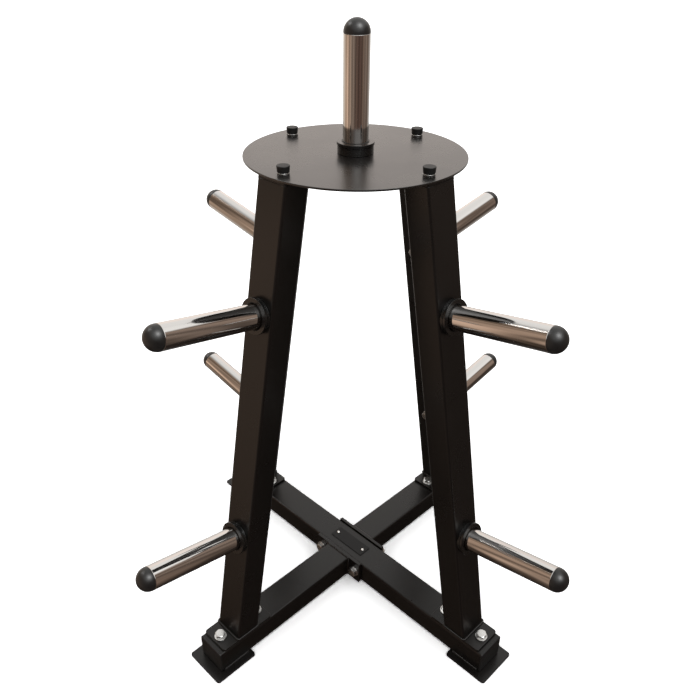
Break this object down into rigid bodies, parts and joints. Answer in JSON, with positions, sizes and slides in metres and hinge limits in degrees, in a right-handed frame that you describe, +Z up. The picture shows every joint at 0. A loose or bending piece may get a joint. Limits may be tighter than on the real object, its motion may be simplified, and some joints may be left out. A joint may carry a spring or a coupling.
{
  "type": "weight plate tree",
  "caption": "Free-standing rack for weight plates: a crossed tubular base, slanted legs under a round top plate, and chromed pegs with rubber collars and domed ends.",
  "frame": {"origin": "on the floor, under the axis of the upright post", "axes": "+Z up along the upright post; +X along the main beam towards the front right arm; +Y along the half beams towards the back right arm"},
  "size_m": [1.1968, 1.1968, 1.3548],
  "materials": {
    "powder_coat": "semi-matt black powder coat, very fine grain",
    "chrome": "bright hard chrome on polished steel tube",
    "zinc": "bright zinc plate",
    "rubber": "moulded rubber, low sheen",
    "black_plastic": "moulded plastic, soft sheen",
    "name_plate": "black anodised sheet, bare"
  },
  "bodies": {
    "root": {"main_beam": "powder_coat", "back_right_half_beam": "powder_coat", "front_left_half_beam": "powder_coat", "top_plate": "powder_coat", "cross_bolt_left": "zinc", "cross_bolt_right": "zinc", "name_plate": "name_plate", "name_plate_rivet_left": "zinc", "name_plate_rivet_right": "zinc", "upright_post": "chrome", "upright_post_collar": "rubber", "upright_post_dome": "black_plastic", "front_right_leg": "powder_coat", "front_right_beam_cap": "black_plastic", "front_right_leg_bolt_inner": "zinc", "front_right_leg_bolt_outer": "zinc", "front_right_lower_peg": "chrome", "front_right_lower_peg_collar": "rubber", "front_right_lower_peg_dome": "black_plastic", "front_right_upper_peg": "chrome", "front_right_upper_peg_collar": "rubber", "front_right_upper_peg_dome": "black_plastic", "front_right_top_bolt": "zinc", "front_right_top_bolt_cap": "black_plastic", "back_right_leg": "powder_coat", "back_right_beam_cap": "black_plastic", "back_right_leg_bolt_inner": "zinc", "back_right_leg_bolt_outer": "zinc", "back_right_lower_peg": "chrome", "back_right_lower_peg_collar": "rubber", "back_right_lower_peg_dome": "black_plastic", "back_right_upper_peg": "chrome", "back_right_upper_peg_collar": "rubber", "back_right_upper_peg_dome": "black_plastic", "back_right_top_bolt": "zinc", "back_right_top_bolt_cap": "black_plastic", "back_left_leg": "powder_coat", "back_left_beam_cap": "black_plastic", "back_left_leg_bolt_inner": "zinc", "back_left_leg_bolt_outer": "zinc", "back_left_lower_peg": "chrome", "back_left_lower_peg_collar": "rubber", "back_left_lower_peg_dome": "black_plastic", "back_left_upper_peg": "chrome", "back_left_upper_peg_collar": "rubber", "back_left_upper_peg_dome": "black_plastic", "back_left_top_bolt": "zinc", "back_left_top_bolt_cap": "black_plastic", "front_left_leg": "powder_coat", "front_left_beam_cap": "black_plastic", "front_left_leg_bolt_inner": "zinc", "front_left_leg_bolt_outer": "zinc", "front_left_lower_peg": "chrome", "front_left_lower_peg_collar": "rubber", "front_left_lower_peg_dome": "black_plastic", "front_left_upper_peg": "chrome", "front_left_upper_peg_collar": "rubber", "front_left_upper_peg_dome": "black_plastic", "front_left_top_bolt": "zinc", "front_left_top_bolt_cap": "black_plastic"}
  },
  "joints": []
}
